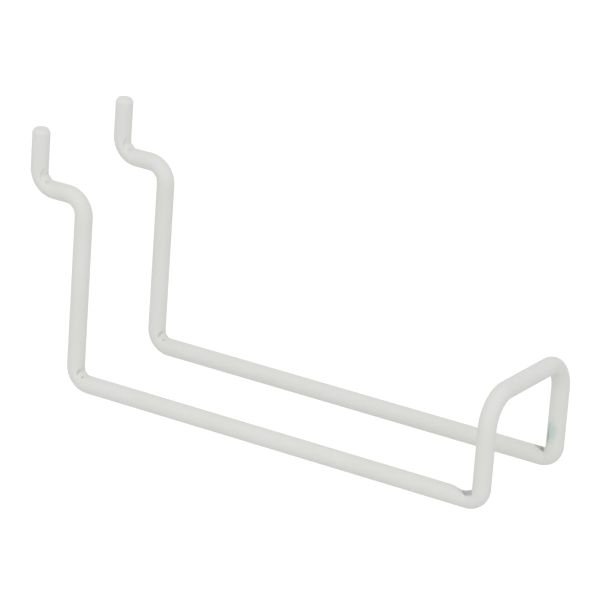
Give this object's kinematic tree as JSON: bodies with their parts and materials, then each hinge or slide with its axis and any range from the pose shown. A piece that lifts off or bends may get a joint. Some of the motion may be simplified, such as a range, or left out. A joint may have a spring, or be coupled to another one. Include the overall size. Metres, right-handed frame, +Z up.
{
  "type": "pegboard hook",
  "caption": "Pegboard hook bent from round painted wire: cranked pegs hook into the board, legs drop down its face to parallel arms that end in an upturned front loop and carry goods.",
  "frame": {"origin": "on the front face of the board, midway between the two holes that take the pegs, at the height of the crank runs", "axes": "+X leaves the board along the arms, +Y runs along the row of holes, +Z is up"},
  "size_m": [0.1916, 0.0572, 0.0925],
  "materials": {
    "painted_wire": "satin powder coat"
  },
  "bodies": {
    "root": {"hook_wire": "painted_wire"}
  },
  "joints": []
}
